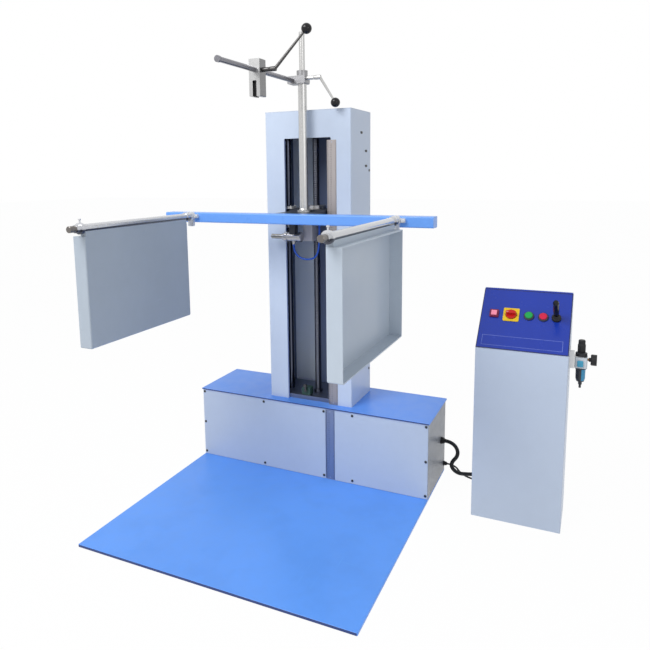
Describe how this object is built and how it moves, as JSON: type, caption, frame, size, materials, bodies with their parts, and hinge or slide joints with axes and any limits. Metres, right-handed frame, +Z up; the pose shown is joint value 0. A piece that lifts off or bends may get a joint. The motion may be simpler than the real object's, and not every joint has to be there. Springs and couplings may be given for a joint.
{
  "type": "drop tester",
  "caption": "Drop tester with a floor impact plate, a screw-lifted crossbar, swinging wing trays, a hold-down arm and a sloped floor console.",
  "frame": {"origin": "on the floor under the middle of the base cabinet, on the machine's middle plane", "axes": "+Z up, -Y to the front over the impact plate, +X to the console's side"},
  "size_m": [1.847, 1.228, 2.03],
  "materials": {
    "blue_paint": "satin",
    "grey_paint": "satin",
    "inner_paint": "satin",
    "royal_paint": "gloss",
    "console_paint": "satin",
    "rule_steel": "satin",
    "plate_steel": "satin",
    "turned_steel": "polished",
    "rod_chrome": "polished",
    "bright_zinc": "satin",
    "block_alu": "satin",
    "cast_alu": "cast",
    "motor_cast": "matt",
    "switch_green": "matt",
    "black_plastic": "matt",
    "black_gloss": "gloss",
    "yellow_plastic": "gloss",
    "red_plastic": "gloss",
    "green_plastic": "gloss",
    "lamp_pink": "gloss",
    "tube_blue": "gloss",
    "bowl_blue": "gloss",
    "regulator_grey": "satin",
    "cable_black": "matt"
  },
  "bodies": {
    "frame": {"impact_plate": "blue_paint", "base_cabinet": "grey_paint", "front_panel_left": "grey_paint", "front_panel_right": "grey_paint", "base_lid": "blue_paint", "base_rule": "rule_steel", "column_shell": "grey_paint", "column_back": "grey_paint", "column_rule": "rule_steel", "rod_foot": "plate_steel", "rod_head": "plate_steel", "guide_rods": "rod_chrome", "lift_motor": "motor_cast", "limit_switch": "switch_green", "conduit": "cable_black", "power_cable": "cable_black", "cable_glands": "black_plastic", "console_body": "console_paint", "console_panel": "royal_paint", "pilot_lamp": "lamp_pink", "switch_plate": "yellow_plastic", "button_bezels": "bright_zinc", "joystick_base": "black_plastic", "filter_bracket": "bright_zinc", "filter_body": "regulator_grey", "filter_bowl": "bowl_blue", "gauge_case": "black_plastic", "cover_screws": "bright_zinc"},
    "screw": {"lead_screw": "turned_steel"},
    "switch_lever": {"limit_lever": "bright_zinc"},
    "carriage": {"carriage_plate": "inner_paint", "carriage_bearings": "turned_steel", "screw_nut": "bright_zinc", "bar_bracket": "inner_paint", "crossbar": "blue_paint", "wing_housings": "block_alu", "air_cylinder": "cast_alu", "cylinder_hanger": "black_plastic", "tube_fitting": "tube_blue", "air_tube": "tube_blue", "post_tube": "bright_zinc"},
    "left_wing": {"wing_shaft_left": "turned_steel", "wing_tray_left": "grey_paint"},
    "right_wing": {"wing_shaft_right": "turned_steel", "wing_tray_right": "grey_paint"},
    "air_rod": {"air_rod": "rod_chrome"},
    "mast": {"post_rod": "rod_chrome"},
    "clamp": {"cross_clamp": "cast_alu"},
    "clamp_handle": {"clamp_lever": "turned_steel"},
    "arm": {"hold_arm": "turned_steel"},
    "foot_block": {"arm_block": "block_alu"},
    "block_handle": {"block_lever": "turned_steel"},
    "main_switch": {"switch_knob": "red_plastic"},
    "green_button": {"green_cap": "green_plastic"},
    "red_button": {"red_cap": "red_plastic"},
    "joystick": {"joystick_stick": "black_gloss"},
    "regulator": {"filter_knob": "black_plastic"},
    "needle": {"gauge_needle": "red_plastic"}
  },
  "joints": [
    {"name": "carriage_lift", "type": "slide", "parent": "frame", "child": "carriage", "axis": [0, 0, 1], "range_m": [-0.67, 0.245]},
    {"name": "screw_turn", "type": "hinge", "parent": "frame", "child": "screw", "pos_m": [0, -0.025, 0.9], "axis": [0, 0, 1], "range_deg": [-8900, 24200]},
    {"name": "left_wing_swing", "type": "hinge", "parent": "carriage", "child": "left_wing", "pos_m": [-0.482, -0.7, 1.243], "axis": [0, -1, 0], "range_deg": [0, 90]},
    {"name": "right_wing_swing", "type": "hinge", "parent": "carriage", "child": "right_wing", "pos_m": [0.482, -0.7, 1.243], "axis": [0, 1, 0], "range_deg": [0, 90]},
    {"name": "air_rod_slide", "type": "slide", "parent": "carriage", "child": "air_rod", "axis": [-1, 0, 0], "range_m": [-0.0315, 0]},
    {"name": "mast_turn", "type": "hinge", "parent": "carriage", "child": "mast", "pos_m": [0, -0.16, 1.7], "axis": [0, 0, 1], "range_deg": [-10, 90]},
    {"name": "clamp_slide", "type": "slide", "parent": "mast", "child": "clamp", "axis": [0, 0, 1], "range_m": [0, 0.155]},
    {"name": "clamp_lever_turn", "type": "hinge", "parent": "clamp", "child": "clamp_handle", "pos_m": [0.05, -0.16, 1.8363], "axis": [1, 0, 0], "range_deg": [-100, 0]},
    {"name": "arm_slide", "type": "slide", "parent": "clamp", "child": "arm", "axis": [0, 1, 0], "range_m": [-0.02, 0.25]},
    {"name": "block_slide", "type": "slide", "parent": "arm", "child": "foot_block", "axis": [0, 1, 0], "range_m": [-0.24, 0.26]},
    {"name": "block_lever_turn", "type": "hinge", "parent": "foot_block", "child": "block_handle", "pos_m": [0, -0.484, 1.828], "axis": [1, 0, 0], "range_deg": [-60, 60]},
    {"name": "limit_lever_turn", "type": "hinge", "parent": "frame", "child": "switch_lever", "pos_m": [-0.032, -0.103, 0.404], "axis": [0, 1, 0], "range_deg": [-25, 25], "stiffness_Nm_per_rad": 0.05},
    {"name": "main_switch_turn", "type": "hinge", "parent": "frame", "child": "main_switch", "pos_m": [0.892, -0.07316, 0.8475], "axis": [0, 0.7071, -0.7071], "range_deg": [0, 90]},
    {"name": "green_push", "type": "slide", "parent": "frame", "child": "green_button", "axis": [0, 0.7071, -0.7071], "range_m": [0, 0.0035], "stiffness_N_per_m": 600},
    {"name": "red_push", "type": "slide", "parent": "frame", "child": "red_button", "axis": [0, 0.7071, -0.7071], "range_m": [0, 0.0035], "stiffness_N_per_m": 600},
    {"name": "joystick_tilt", "type": "hinge", "parent": "frame", "child": "joystick", "pos_m": [1.065, -0.07457, 0.84892], "axis": [1, 0, 0], "range_deg": [-14, 14], "stiffness_Nm_per_rad": 1.6},
    {"name": "regulator_turn", "type": "hinge", "parent": "frame", "child": "regulator", "pos_m": [1.163, -0.1, 0.75], "axis": [0, 0, 1], "range_deg": [-360, 360]},
    {"name": "needle_turn", "type": "hinge", "parent": "frame", "child": "needle", "pos_m": [1.214, -0.1, 0.699], "axis": [-1, 0, 0], "range_deg": [0, 270], "stiffness_Nm_per_rad": 0.002}
  ],
  "couplings": [
    {"joint": "screw_turn", "follows": "carriage_lift", "rad_per_m": -628.32},
    {"joint": "right_wing_swing", "follows": "left_wing_swing", "ratio": 1},
    {"joint": "air_rod_slide", "follows": "left_wing_swing", "m_per_rad": -0.02}
  ]
}
